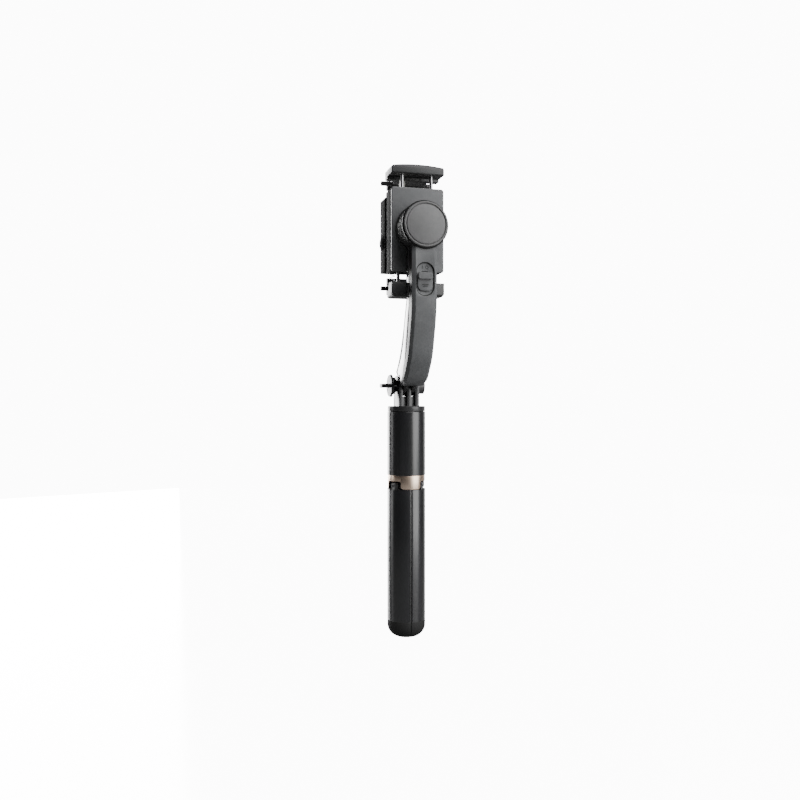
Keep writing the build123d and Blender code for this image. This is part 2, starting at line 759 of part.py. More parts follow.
with BuildPart() as power_slider:
    with BuildSketch(facing(slider_floor + running_gap, slider_low + slider_length / 2)):
        RectangleRounded(slider_width, slider_length, 3.6)
    extrude(amount=slider_thick)
    with BuildSketch(facing(slider_floor + 0.5, slider_low + slider_length - ridge_length / 2)):
        RectangleRounded(slider_width, ridge_length, 1.6)
    extrude(amount=ridge_height)
    ridge_rims = power_slider.edges().group_by(Axis.Y)[0]
    fillet(ridge_rims, radius=0.5)
    with BuildSketch(facing(board_depth + 3.9, slider_low + slider_length / 2)):
        Rectangle(slider_neck, slider_neck)
    extrude(amount=slider_floor + 0.5 - board_depth - 3.9)
power_slider.part.label = "power_slider"
export_step(power_slider.part, "parts/power_slider.step")

# ---------------------------------------------------------------- motor

with BuildPart() as motor_housing:
    with BuildSketch(facing(motor_back_depth, motor_height)):
        Circle(motor_radius)
    extrude(amount=motor_length)
    chamfer(motor_housing.edges().group_by(Axis.Y)[0], length=0.6)
    chamfer(motor_housing.edges().group_by(Axis.Y)[-1], length=0.6)
    with BuildSketch(facing(motor_back_depth + 1.6, motor_height)):
        Circle(motor_radius - motor_wall)
    extrude(amount=motor_length, mode=Mode.SUBTRACT)
    with BuildSketch(facing(motor_back_depth - 1.0, motor_height)):
        Circle(neck_radius + 0.5)
    extrude(amount=4.0, mode=Mode.SUBTRACT)
    with BuildSketch(facing(motor_back_depth + 1.6, motor_height)):
        with PolarLocations(motor_radius + 0.15, flute_count):
            Circle(flute_radius)
    extrude(amount=motor_length - 3.4, mode=Mode.SUBTRACT)
motor_housing.part.label = "motor_housing"
export_step(motor_housing.part, "parts/motor_housing.step")

with BuildPart() as motor_cap:
    with BuildSketch(facing(motor_front_depth, motor_height)):
        Circle(cap_face_radius)
    extrude(amount=cap_face_thick)
    fillet(motor_cap.edges().group_by(Axis.Y)[0], radius=0.7)
    with BuildSketch(facing(motor_front_depth - 3.0, motor_height)):
        Circle(motor_radius - motor_wall - seat_gap)
    extrude(amount=3.0)
    with BuildSketch(facing(motor_back_depth + 5.0, motor_height)):
        Circle(bearing_radius + 1.1)
    extrude(amount=motor_length - 6.0)
    with BuildSketch(facing(motor_back_depth + 4.0, motor_height)):
        Circle(bearing_radius + seat_gap)
    extrude(amount=motor_length - 6.0, mode=Mode.SUBTRACT)
    with BuildSketch(facing(motor_front_depth + cap_face_thick - cap_groove_depth, motor_height)):
        Circle(cap_disc_radius + cap_groove_width)
        Circle(cap_disc_radius, mode=Mode.SUBTRACT)
    extrude(amount=cap_groove_depth, mode=Mode.SUBTRACT)
motor_cap.part.label = "motor_cap"
export_step(motor_cap.part, "parts/motor_cap.step")

stator_back = motor_back_depth + 5.6
stator_length = 6.4
stator_hub_radius = 5.5
tip_thick = 1.4
tooth_start = stator_hub_radius - 0.5
tooth_end = stator_radius - tip_thick + 0.4
tooth_middle = (tooth_start + tooth_end) / 2

with BuildPart() as stator_core:
    with BuildSketch(facing(stator_back, motor_height)):
        Circle(stator_hub_radius)
        with PolarLocations(tooth_middle, tooth_count):
            Rectangle(tooth_end - tooth_start, 1.4)
        with PolarLocations(stator_radius - tip_thick / 2, tooth_count):
            Rectangle(tip_thick, 5.0)
        Circle(bearing_radius + 1.1 + seat_gap, mode=Mode.SUBTRACT)
    extrude(amount=stator_length)
stator_core.part.label = "stator_core"
export_step(stator_core.part, "parts/stator_core.step")

with BuildPart() as stator_coils:
    with BuildSketch(facing(stator_back - 0.6, motor_height)):
        with PolarLocations(tooth_middle + 0.3, tooth_count):
            RectangleRounded(2.9, 2.7, 0.4)
    extrude(amount=stator_length + 1.2)
    with BuildSketch(facing(stator_back - seat_gap, motor_height)):
        with PolarLocations(tooth_middle + 0.3, tooth_count):
            Rectangle(4.0, 1.4 + 2 * seat_gap)
    extrude(amount=stator_length + 2 * seat_gap, mode=Mode.SUBTRACT)
stator_coils.part.label = "stator_coils"
export_step(stator_coils.part, "parts/stator_coils.step")

with BuildPart() as motor_bearings:
    for start in (motor_back_depth + 5.2, motor_front_depth - 5.0):
        with BuildSketch(facing(start, motor_height)):
            Circle(bearing_radius)
            Circle(shaft_radius + running_gap, mode=Mode.SUBTRACT)
        extrude(amount=2.5)
motor_bearings.part.label = "motor_bearings"
export_step(motor_bearings.part, "parts/motor_bearings.step")

with BuildPart() as rotor_bell:
    with BuildSketch(facing(motor_back_depth + 2.2, motor_height)):
        Circle(rotor_radius)
    extrude(amount=11.0)
    with BuildSketch(facing(motor_back_depth + 3.6, motor_height)):
        Circle(rotor_radius - rotor_wall)
    extrude(amount=12.0, mode=Mode.SUBTRACT)
    with BuildSketch(facing(plate_face_depth, motor_height)):
        Circle(neck_radius)
    extrude(amount=motor_back_depth + 3.6 - plate_face_depth)
    with BuildSketch(facing(0, motor_height)):
        Circle(shaft_radius + seat_gap / 2)
    extrude(amount=arm_front_depth, mode=Mode.SUBTRACT)
rotor_bell.part.label = "rotor_bell"
export_step(rotor_bell.part, "parts/rotor_bell.step")

with BuildPart() as rotor_magnets:
    with BuildSketch(facing(motor_back_depth + 4.2, motor_height)):
        Circle(rotor_radius - rotor_wall - seat_gap)
        Circle(stator_radius + 0.7, mode=Mode.SUBTRACT)
        with PolarLocations(stator_radius + 1.0, magnet_count):
            Rectangle(4.0, 0.6, mode=Mode.SUBTRACT)
    extrude(amount=9.0)
rotor_magnets.part.label = "rotor_magnets"
export_step(rotor_magnets.part, "parts/rotor_magnets.step")

with BuildPart() as motor_shaft:
    with BuildSketch(facing(plate_back_depth, motor_height)):
        Circle(shaft_radius)
    extrude(amount=motor_front_depth - 2.4 - plate_back_depth)
motor_shaft.part.label = "motor_shaft"
export_step(motor_shaft.part, "parts/motor_shaft.step")

# ---------------------------------------------------------------- clamp shells

rack_reach = pitch_radius + gear_module * 1.25
cavity_width = clamp_width - 2 * clamp_wall

with BuildPart() as clamp_front_plate:
    with BuildSketch(facing(plate_back_depth, clamp_centre)):
        RectangleRounded(clamp_width, clamp_height, clamp_corner)
    extrude(amount=plate_thick)
    chamfer(clamp_front_plate.edges().group_by(Axis.Y)[0], length=0.4)
    with BuildSketch(facing(0, motor_height)):
        Circle(shaft_radius + seat_gap / 2)
    extrude(amount=arm_front_depth, mode=Mode.SUBTRACT)
clamp_front_plate.part.label = "clamp_front_plate"
export_step(clamp_front_plate.part, "parts/clamp_front_plate.step")

with BuildPart() as clamp_front_shell:
    with BuildSketch(facing(shell_split_depth, clamp_centre)):
        RectangleRounded(clamp_width, clamp_height, clamp_corner)
    extrude(amount=front_shell_length)
    with BuildSketch(facing(shell_split_depth, clamp_centre)):
        Rectangle(cavity_width, clamp_height - 2 * clamp_wall)
    extrude(amount=front_shell_length - 2 * clamp_wall - 0.4 + 2.0, mode=Mode.SUBTRACT)
    with BuildSketch(Plane.XY.offset(clamp_bottom)):
        with Locations(
            (-upper_rod_spread, -rod_depth),
            (upper_rod_spread, -rod_depth),
            (-lower_rod_spread, -rod_depth),
            (lower_rod_spread, -rod_depth),
        ):
            Circle(rod_radius + running_gap)
        with Locations((-rack_reach - rack_back / 2, -gear_depth), (rack_reach + rack_back / 2, -gear_depth)):
            Rectangle(rack_back + 2.0, gear_thick + 0.6)
    extrude(amount=clamp_height, mode=Mode.SUBTRACT)
    with BuildSketch(facing(gear_depth, clamp_centre)):
        Circle(1.0 + seat_gap)
    extrude(amount=plate_back_depth - gear_depth - 1.0, mode=Mode.SUBTRACT)
clamp_front_shell.part.label = "clamp_front_shell"
export_step(clamp_front_shell.part, "parts/clamp_front_shell.step")

rear_width = clamp_width + 2 * rear_shell_margin
rear_height = clamp_height - 4.0
with BuildPart() as clamp_rear_shell:
    with BuildSketch(facing(0, clamp_centre)):
        with BuildLine():
            half_w = rear_width / 2
            half_h = rear_height / 2
            Polyline(
                (-half_w, -half_h),
                (half_w, -half_h),
                (half_w, half_h - 3.0),
                (half_w - 3.0, half_h),
                (3.0 - half_w, half_h),
                (-half_w, half_h - 3.0),
                close=True,
            )
        make_face()
    extrude(amount=shell_split_depth)
    chamfer(clamp_rear_shell.edges().group_by(Axis.Y)[-1], length=0.8)
    with BuildSketch(facing(2.2, clamp_centre)):
        Rectangle(cavity_width, clamp_height - 2 * clamp_wall - 4.0)
    extrude(amount=shell_split_depth, mode=Mode.SUBTRACT)
    with BuildSketch(Plane.XY.offset(clamp_bottom)):
        with Locations((-rack_reach - rack_back / 2, -gear_depth), (rack_reach + rack_back / 2, -gear_depth)):
            Rectangle(rack_back + 2.0, gear_thick + 0.6)
    extrude(amount=clamp_height, mode=Mode.SUBTRACT)
    with BuildSketch(Plane.XY.offset(clamp_centre)):
        with Locations((spring_offset, -spring_depth)):
            Circle(spring_radius + 0.6)
    extrude(amount=clamp_height, mode=Mode.SUBTRACT)
    with BuildSketch(Plane.XY.offset(clamp_centre - clamp_height)):
        with Locations((-spring_offset, -spring_depth)):
            Circle(spring_radius + 0.6)
    extrude(amount=clamp_height, mode=Mode.SUBTRACT)
    with BuildSketch(facing(1.2, clamp_centre)):
        Circle(1.0 + seat_gap)
    extrude(amount=4.0, mode=Mode.SUBTRACT)
    with BuildSketch(facing(2.0, clamp_centre)):
        with Locations((spring_offset, -spring_anchor), (-spring_offset, spring_anchor)):
            Circle(0.8)
    extrude(amount=spring_depth + spring_radius - 2.0)
clamp_rear_shell.part.label = "clamp_rear_shell"
export_step(clamp_rear_shell.part, "parts/clamp_rear_shell.step")

with BuildPart() as side_cap:
    side_cap_centre = (-rear_width / 2, -7.0, clamp_centre - 6.5)
    with BuildSketch(Plane(origin=side_cap_centre, x_dir=(1, 0, 0), z_dir=(0, -1, 0))):
        with BuildLine():
            ThreePointArc((0, side_cap_radius), (-side_cap_proud, 0), (0, -side_cap_radius))
            Line((0, -side_cap_radius), (0, side_cap_radius))
        make_face()
        Rectangle(4.0, 4 * side_cap_radius, align=(Align.CENTER, Align.MAX), mode=Mode.SUBTRACT)
    revolve(axis=Axis(side_cap_centre, (1, 0, 0)))
side_cap.part.label = "side_cap"
export_step(side_cap.part, "parts/side_cap.step")

with BuildPart() as back_rest_pad:
    with BuildSketch(facing(-pad_thick, clamp_centre)):
        RectangleRounded(pad_width, pad_height, 3.0)
    extrude(amount=pad_thick)
    with BuildSketch(facing(-pad_thick, clamp_centre)):
        with GridLocations(0, 4.0, 1, 11):
            Rectangle(pad_width - 6.0, 1.2)
    extrude(amount=0.5, mode=Mode.SUBTRACT)
back_rest_pad.part.label = "back_rest_pad"
export_step(back_rest_pad.part, "parts/back_rest_pad.step")

# ---------------------------------------------------------------- rack and pinion that centre the jaws

with BuildPart() as pinion_axle:
    with BuildSketch(facing(1.4, clamp_centre)):
        Circle(1.0)
    extrude(amount=plate_back_depth - 1.4 - 1.4)
pinion_axle.part.label = "pinion_axle"
export_step(pinion_axle.part, "parts/pinion_axle.step")

pressure_angle = radians(20.0)
base_radius = pitch_radius * cos(pressure_angle)
tip_radius = pitch_radius + gear_module
root_radius = pitch_radius - 1.1 * gear_module
half_tooth = (pi * gear_module / 2 - gear_backlash) / 2 / pitch_radius
involute_offset = tan(pressure_angle) - pressure_angle


def flank_point(radius, side):
    """A point on the tooth's involute flank, for a tooth that points along +X."""
    roll = sqrt(max(radius**2 / base_radius**2 - 1, 0))
    turn = half_tooth + involute_offset - (roll - atan(roll))
    return (radius * cos(side * turn), radius * sin(side * turn))


flank_radii = [max(base_radius, root_radius), pitch_radius, (pitch_radius + tip_radius) / 2, tip_radius]
with BuildPart() as sync_pinion:
    with BuildSketch(facing(gear_depth - gear_thick / 2, clamp_centre)):
        Circle(root_radius)
        for tooth in range(gear_teeth):
            with BuildSketch(mode=Mode.PRIVATE) as tooth_outline:
                with BuildLine():
                    Polyline(
                        (root_radius * 0.8, flank_point(flank_radii[0], -1)[1]),
                        *[flank_point(radius, -1) for radius in flank_radii],
                        *[flank_point(radius, 1) for radius in reversed(flank_radii)],
                        (root_radius * 0.8, flank_point(flank_radii[0], 1)[1]),
                        close=True,
                    )
                make_face()
            add(tooth_outline.sketch.rotate(Axis.Z, (tooth + 0.5) * 360.0 / gear_teeth))
        Circle(1.0 + running_gap, mode=Mode.SUBTRACT)
    extrude(amount=gear_thick)
sync_pinion.part.label = "sync_pinion"
export_step(sync_pinion.part, "parts/sync_pinion.step")

rack_tooth_pitch = pi * gear_module
rack_half_pitch = (rack_tooth_pitch / 2 - gear_backlash) / 2
rack_tip_half = rack_half_pitch - rack_addendum * tan(pressure_angle)
rack_root_half = rack_half_pitch + (rack_reach - pitch_radius) * tan(pressure_angle)
rack_end = 16.5

racks = [
    ("rack_upper", -1, clamp_centre - rack_end, carriage_low),
    ("rack_lower", 1, chin_top, clamp_centre + rack_end),
]
for name, side, low, high in racks:
    with BuildPart() as rack:
        with BuildSketch(facing(gear_depth - gear_thick / 2)):
            with Locations((side * (rack_reach + rack_back / 2), (low + high) / 2)):
                Rectangle(rack_back, high - low)
            for tooth in range(-5, 6):
                middle = clamp_centre + tooth * rack_tooth_pitch
                with BuildLine():
                    Polyline(
                        (side * (rack_reach + 0.2), middle - rack_root_half),
                        (side * rack_reach, middle - rack_root_half),
                        (side * (pitch_radius - rack_addendum), middle - rack_tip_half),
                        (side * (pitch_radius - rack_addendum), middle + rack_tip_half),
                        (side * rack_reach, middle + rack_root_half),
                        (side * (rack_reach + 0.2), middle + rack_root_half),
                        close=True,
                    )
                make_face()
        extrude(amount=gear_thick)
    rack.part.label = name
    export_step(rack.part, f"parts/{name}.step")

# ---------------------------------------------------------------- jaws

bar_low = carriage_low - 0.5
bar_front = bar_thick - phone_front_y + 0.1
jaw_back_y = hook_y + hook_thick
upper_pad_level = phone_high + jaw_pad_thick
upper_top = upper_pad_level + tongue_thick
lower_pad_level = phone_low - jaw_pad_thick
lower_bar_top = chin_top + 0.5
lower_floor = chin_top - 4.5
wall_y = phone_front_y - 0.1
rod_pocket = 3.0
visor_end = visor_low + visor_end_height

with BuildPart() as jaw_upper:
    with BuildSketch(facing(visor_back_depth)):
        with BuildLine():
            Polyline(
                (-visor_width / 2, visor_end),
                (-visor_width / 2, visor_low),
                (visor_width / 2, visor_low),
                (visor_width / 2, visor_end),
            )
            ThreePointArc(
                (visor_width / 2, visor_end), (0, visor_end + visor_crest), (-visor_width / 2, visor_end)
            )
        make_face()
    extrude(amount=visor_front_depth - visor_back_depth)
    fillet(jaw_upper.edges().filter_by(Axis.Y).group_by(Axis.Z)[-1], radius=1.6)
    chamfer(jaw_upper.edges().group_by(Axis.Y)[0], length=0.5)
    with BuildSketch(facing(visor_back_depth - 6.0, (carriage_low + visor_end - 1.0) / 2)):
        Rectangle(visor_width, visor_end - 1.0 - carriage_low)
    extrude(amount=6.0)
    with BuildSketch(side_view):
        with BuildLine():
            Polyline(
                (visor_back_depth - 3.0, carriage_low),
                (visor_back_depth - 3.0, upper_top),
                (-jaw_back_y, upper_top),
                (-jaw_back_y, phone_high - hook_reach),
                (-hook_y, phone_high - hook_reach),
                (-hook_y, upper_pad_level),
                (-wall_y, upper_pad_level),
                (-wall_y, bar_low + bar_height),
                (bar_front, bar_low + bar_height),
                (bar_front, carriage_low),
                close=True,
            )
        make_face()
    extrude(amount=tongue_width / 2, both=True)
    hook_rims = jaw_upper.edges().filter_by(Axis.X).group_by(Axis.Y)[-1]
    fillet(hook_rims, radius=1.2)
    with BuildSketch(Plane.XY.offset(visor_low)):
        with Locations((-upper_rod_spread, -rod_depth), (upper_rod_spread, -rod_depth)):
            Circle(rod_radius + seat_gap)
    extrude(amount=rod_pocket, mode=Mode.SUBTRACT)
jaw_upper.part.label = "jaw_upper"
export_step(jaw_upper.part, "parts/jaw_upper.step")

with BuildPart() as jaw_lower:
    with BuildSketch(facing(0, chin_top - chin_height / 2 - 0.15)):
        Rectangle(visor_width, chin_height + 0.3)
    extrude(amount=visor_front_depth)
    fillet(jaw_lower.edges().filter_by(Axis.Y).group_by(Axis.Z)[0], radius=3.2)
    with BuildSketch(side_view):
        with BuildLine():
            Polyline(
                (22.5, chin_top),
                (visor_front_depth, chin_top),
                (visor_front_depth, chin_top - chin_height + 1.6),
                (visor_front_depth - 1.8, chin_top - chin_height - 0.3),
                (14.5, chin_top - chin_height - 0.3),
                (14.5, chin_top - chin_height + 1.0),
            )
            ThreePointArc(
                (14.5, chin_top - chin_height + 1.0), (20.6, chin_top - chin_height + 3.9), (22.5, chin_top)
            )
        make_face()
    extrude(amount=visor_width, both=True, mode=Mode.INTERSECT)
    with BuildSketch(side_view):
        with BuildLine():
            Polyline(
                (visor_front_depth - 6.0, chin_top),
                (bar_front, chin_top),
                (bar_front, lower_bar_top - bar_height),
                (-wall_y, lower_bar_top - bar_height),
                (-wall_y, lower_pad_level),
                (-hook_y, lower_pad_level),
                (-hook_y, phone_low + hook_reach),
                (-jaw_back_y, phone_low + hook_reach),
                (-jaw_back_y, lower_floor),
                (visor_front_depth - 6.0, lower_floor),
                close=True,
            )
        make_face()
    extrude(amount=tongue_width / 2, both=True)
    hook_rims = jaw_lower.edges().filter_by(Axis.X).group_by(Axis.Y)[-1]
    fillet(hook_rims, radius=1.2)
    with BuildSketch(Plane.XY.offset(chin_top)):
        with Locations((-lower_rod_spread, -rod_depth), (lower_rod_spread, -rod_depth)):
            Circle(rod_radius + seat_gap)
    extrude(amount=-rod_pocket, mode=Mode.SUBTRACT)
jaw_lower.part.label = "jaw_lower"
export_step(jaw_lower.part, "parts/jaw_lower.step")

jaw_fittings = [
    ("upper", phone_high, upper_pad_level, bar_low, bar_low + bar_height),
    ("lower", lower_pad_level, phone_low, lower_bar_top - bar_height, lower_bar_top),
]
for side, pad_low, pad_high, bar_start, bar_end in jaw_fittings:
    with BuildPart() as jaw_rubbers:
        with BuildSketch(side_view):
            with Locations((-(wall_y + hook_y) / 2, (pad_low + pad_high) / 2)):
                Rectangle(hook_y - wall_y, pad_high - pad_low)
        extrude(amount=tongue_width / 2 - 1.0, both=True)
        with BuildSketch(side_view):
            with Locations(((bar_front - wall_y) / 2, (bar_start + bar_end) / 2)):
                RectangleRounded(bar_front + wall_y, bar_end - bar_start, 0.7)
        extrude(amount=bar_width / 2, both=True)
    jaw_rubbers.part.label = f"jaw_rubbers_{side}"
    export_step(jaw_rubbers.part, f"parts/jaw_rubbers_{side}.step")

rod_reach = 12.0
jaw_rods = [
    ("upper", upper_rod_spread, clamp_centre - rod_reach, visor_low + rod_pocket),
    ("lower", lower_rod_spread, chin_top - rod_pocket, clamp_centre + rod_reach),
]
for side, spread, low, high in jaw_rods:
    with BuildPart() as rods:
        with BuildSketch(Plane.XY.offset(low)):
            with Locations((-spread, -rod_depth), (spread, -rod_depth)):
                Circle(rod_radius)
        extrude(amount=high - low)
    rods.part.label = f"jaw_rods_{side}"
    export_step(rods.part, f"parts/jaw_rods_{side}.step")

# Tension springs pull both jaws towards the middle of the clamp.
springs = [
    ("upper", spring_offset, clamp_centre - spring_anchor + 1.2, carriage_low - 0.1),
    ("lower", -spring_offset, chin_top + 0.1, clamp_centre + spring_anchor - 1.2),
]
for side, across, low, high in springs:
    coil_height = high - low - 2 * spring_wire_radius
    with BuildPart() as jaw_spring:
        with BuildLine() as coil:
            Helix(
                pitch=coil_height / spring_turns,
                height=coil_height,
                radius=spring_radius,
                center=(across, -spring_depth, low + spring_wire_radius),
            )
        with BuildSketch(Plane(origin=coil.line @ 0, z_dir=coil.line % 0)):
            Circle(spring_wire_radius)
        sweep(path=coil.line, is_frenet=True)
    jaw_spring.part.label = f"jaw_spring_{side}"
    export_step(jaw_spring.part, f"parts/jaw_spring_{side}.step")
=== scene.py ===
# %% [markdown]
# # A pocket phone gimbal
# The real object is a motorised phone clamp on a bent arm, which tilts on a telescopic stick
# whose lower half folds out into three legs. The CAD frame gives every piece its size and place.
# Here each piece gets its looks: rounded moulding edges, a knurled motor grip, printed marks,
# and a finish. Pieces are finished one family at a time, from the clamp down to the feet.

import json
import math

import bmesh
import bpy
from mathutils import Matrix, Vector


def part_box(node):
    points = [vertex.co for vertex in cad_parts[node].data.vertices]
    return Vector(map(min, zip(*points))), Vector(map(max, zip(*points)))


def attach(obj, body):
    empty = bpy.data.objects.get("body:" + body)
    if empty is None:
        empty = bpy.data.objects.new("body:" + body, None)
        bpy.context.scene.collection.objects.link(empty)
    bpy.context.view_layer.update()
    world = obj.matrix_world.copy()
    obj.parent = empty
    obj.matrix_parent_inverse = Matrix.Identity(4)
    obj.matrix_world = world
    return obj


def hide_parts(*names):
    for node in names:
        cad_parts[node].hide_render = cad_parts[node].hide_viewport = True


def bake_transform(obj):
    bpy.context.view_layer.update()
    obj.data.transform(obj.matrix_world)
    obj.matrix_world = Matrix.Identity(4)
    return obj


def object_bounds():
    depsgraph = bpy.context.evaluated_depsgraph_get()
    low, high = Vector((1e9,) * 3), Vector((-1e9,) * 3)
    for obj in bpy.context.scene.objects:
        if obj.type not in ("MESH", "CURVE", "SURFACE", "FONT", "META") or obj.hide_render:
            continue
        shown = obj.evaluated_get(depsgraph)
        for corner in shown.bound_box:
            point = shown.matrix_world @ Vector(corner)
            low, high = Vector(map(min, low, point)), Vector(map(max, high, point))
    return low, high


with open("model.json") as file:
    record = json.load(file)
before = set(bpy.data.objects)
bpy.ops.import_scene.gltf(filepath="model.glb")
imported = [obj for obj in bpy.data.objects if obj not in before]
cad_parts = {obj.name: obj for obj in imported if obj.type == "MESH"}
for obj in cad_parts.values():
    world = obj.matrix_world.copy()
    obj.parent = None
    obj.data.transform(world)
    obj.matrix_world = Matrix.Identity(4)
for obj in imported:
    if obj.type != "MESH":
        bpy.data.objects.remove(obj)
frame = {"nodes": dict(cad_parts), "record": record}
cad_box = [list(corner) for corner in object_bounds()]
body_of_node = {
    node: body
    for body, nodes in frame["record"]["behaviour"]["bodies"].items()
    for node in nodes
}
slot_of_node = {part["node"]: part["material_slot"] for part in frame["record"]["subparts"]}
print("frame:", len(body_of_node), "nodes, box", cad_box)

# %% [markdown]
# ## Helpers
# A bmesh is Blender's editable mesh in memory. One helper turns a finished bmesh into a piece
# that moves with its body and takes its finish from the right material slot. A second one makes
# a CAD solid look moulded: it copies the node's triangles, merges the doubled points, dissolves
# the flat facets and rounds every sharp edge a little, because no moulded edge is truly sharp,
# and it is the thin bright line along such an edge that makes a render look real.

# %% Make a piece from a bmesh
MM = 0.001


def piece_from(bm, name, body, material):
    mesh = bpy.data.meshes.new(name)
    bm.to_mesh(mesh)
    bm.free()
    piece = bpy.data.objects.new(name, mesh)
    bpy.context.scene.collection.objects.link(piece)
    mesh.materials.append(material)
    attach(piece, body)
    print(name, len(mesh.polygons), "faces on", body)
    return piece


def smooth_by_angle(bm, degrees):
    for face in bm.faces:
        face.smooth = True
    for edge in bm.edges:
        edge.smooth = len(edge.link_faces) == 2 and edge.calc_face_angle(0) < math.radians(degrees)


# %% [markdown]
# ## Rounded edges
# An injection mould leaves every edge with a small radius. The edges could be rounded in CAD, but
# hundreds of tiny fillets make a heavy model that breaks easily, so they are bevelled here.

# %% Round the edges of a CAD solid
MERGE_DISTANCE = 0.002 * MM
FLAT_DEGREES = 0.6


def moulded(node, material, edge_mm=0.3, segments=2, sharp_degrees=32):
    bm = bmesh.new()
    bm.from_mesh(frame["nodes"][node].data)
    bmesh.ops.remove_doubles(bm, verts=bm.verts, dist=MERGE_DISTANCE)
    bmesh.ops.dissolve_limit(
        bm,
        angle_limit=math.radians(FLAT_DEGREES),
        use_dissolve_boundaries=False,
        verts=bm.verts,
        edges=bm.edges,
    )
    if edge_mm:
        sharp = [
            edge
            for edge in bm.edges
            if len(edge.link_faces) == 2 and edge.calc_face_angle(0) > math.radians(sharp_degrees)
        ]
        bmesh.ops.bevel(
            bm,
            geom=sharp,
            affect="EDGES",
            offset_type="OFFSET",
            offset=edge_mm * MM,
            segments=segments,
            profile=0.5,
            material=-1,
            clamp_overlap=True,
            loop_slide=True,
        )
    smooth_by_angle(bm, sharp_degrees + 8)
    piece = piece_from(bm, node + "_moulded", body_of_node[node], material)
    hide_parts(node)
    return piece


# %% [markdown]
# ## Shared effects
# Three effects come back in most finishes, so each is a node group, built once: the fine grain of
# a spark-eroded mould with a slow unevenness that keeps a gloss from looking computed, thin dust
# on what faces up, and the fine lines of turned or drawn metal. A group puts out only numbers.

# %% Node helpers
def new_group(name, inputs, outputs):
    group = bpy.data.node_groups.new(name, "ShaderNodeTree")
    for label, value in inputs.items():
        socket = group.interface.new_socket(label, in_out="INPUT", socket_type="NodeSocketFloat")
        socket.default_value = value
    for label in outputs:
        group.interface.new_socket(label, in_out="OUTPUT", socket_type="NodeSocketFloat")
    return group, group.nodes.new("NodeGroupInput"), group.nodes.new("NodeGroupOutput")


def math_node(tree, operation, first, second):
    node = tree.nodes.new("ShaderNodeMath")
    node.operation = operation
    for socket, value in zip(node.inputs, (first, second)):
        if isinstance(value, (int, float)):
            socket.default_value = value
        else:
            tree.links.new(value, socket)
    return node.outputs[0]


def noise_node(tree, vector, scale, detail=3.0, roughness=0.55):
    node = tree.nodes.new("ShaderNodeTexNoise")
    node.inputs["Detail"].default_value = detail
    node.inputs["Roughness"].default_value = roughness
    tree.links.new(vector, node.inputs["Vector"])
    if isinstance(scale, (int, float)):
        node.inputs["Scale"].default_value = scale
    else:
        tree.links.new(scale, node.inputs["Scale"])
    return node.outputs[0]


# %% [markdown]
# ## Grain
# Satin plastic is satin because its mould was eroded by sparks. Fine noise gives the height of that
# grain, slow noise shifts the gloss by a little, and middle noise varies the tone.

# %% Grain of a mould
grain_group, group_in, group_out = new_group(
    "mould_grain", {"Grain Scale": 2600.0, "Unevenness": 0.12}, ["Height", "Gloss Shift", "Tone"]
)
coords = grain_group.nodes.new("ShaderNodeTexCoord")
fine = noise_node(grain_group, coords.outputs["Object"], group_in.outputs["Grain Scale"], 2.0)
slow = noise_node(grain_group, coords.outputs["Object"], 45.0, 3.0)
middle = noise_node(grain_group, coords.outputs["Object"], 260.0, 3.0)
shift = math_node(grain_group, "SUBTRACT", slow, 0.5)
shift = math_node(grain_group, "MULTIPLY", shift, group_in.outputs["Unevenness"])
grain_group.links.new(fine, group_out.inputs["Height"])
grain_group.links.new(shift, group_out.inputs["Gloss Shift"])
grain_group.links.new(middle, group_out.inputs["Tone"])

# %% [markdown]
# ## Dust
# Dust settles on what faces up and clings in specks. The mask is the upward part of the normal
# times the high spots of a noise; each finish mixes its own share of it in.

# %% Dust on what faces up
dust_group, group_in, group_out = new_group("dust", {"Amount": 0.25}, ["Mask"])
coords = dust_group.nodes.new("ShaderNodeTexCoord")
geometry = dust_group.nodes.new("ShaderNodeNewGeometry")
split = dust_group.nodes.new("ShaderNodeSeparateXYZ")
dust_group.links.new(geometry.outputs["Normal"], split.inputs[0])
upward = math_node(dust_group, "MAXIMUM", split.outputs["Z"], 0.0)
specks = noise_node(dust_group, coords.outputs["Object"], 900.0, 4.0, 0.7)
specks = math_node(dust_group, "SUBTRACT", specks, 0.5)
specks = math_node(dust_group, "MAXIMUM", specks, 0.0)
mask = math_node(dust_group, "MULTIPLY", upward, specks)
mask = math_node(dust_group, "MULTIPLY", mask, group_in.outputs["Amount"])
dust_group.links.new(mask, group_out.inputs["Mask"])

# %% [markdown]
# ## Drawn metal
# A drawn tube has fine lines along its length, a turned ring has them round it. Both are one noise,
# stretched along Z or squeezed along Z.

# %% Lines of drawn metal
drawn_group, group_in, group_out = new_group(
    "drawn_lines", {"Across": 1800.0, "Along": 25.0}, ["Height", "Gloss Shift"]
)
coords = drawn_group.nodes.new("ShaderNodeTexCoord")
stretch = drawn_group.nodes.new("ShaderNodeCombineXYZ")
drawn_group.links.new(group_in.outputs["Across"], stretch.inputs[0])
drawn_group.links.new(group_in.outputs["Across"], stretch.inputs[1])
drawn_group.links.new(group_in.outputs["Along"], stretch.inputs[2])
scaled = drawn_group.nodes.new("ShaderNodeVectorMath")
scaled.operation = "MULTIPLY"
drawn_group.links.new(coords.outputs["Object"], scaled.inputs[0])
drawn_group.links.new(stretch.outputs[0], scaled.inputs[1])
lines = noise_node(drawn_group, scaled.outputs[0], 1.0, 3.0)
line_shift = math_node(drawn_group, "MULTIPLY", math_node(drawn_group, "SUBTRACT", lines, 0.5), 0.3)
drawn_group.links.new(lines, group_out.inputs["Height"])
drawn_group.links.new(line_shift, group_out.inputs["Gloss Shift"])
print("groups:", [group.name for group in bpy.data.node_groups if group.bl_idname == "ShaderNodeTree"])


# %% [markdown]
# ## Finishes
# Almost everything is plastic, and what tells the pieces apart is tone and gloss: charcoal satin
# on the arm, motor and clamp, deeper and glossier black on the handle, dull black rubber on
# what touches the phone. One recipe makes all the plastics, with its own values for each.

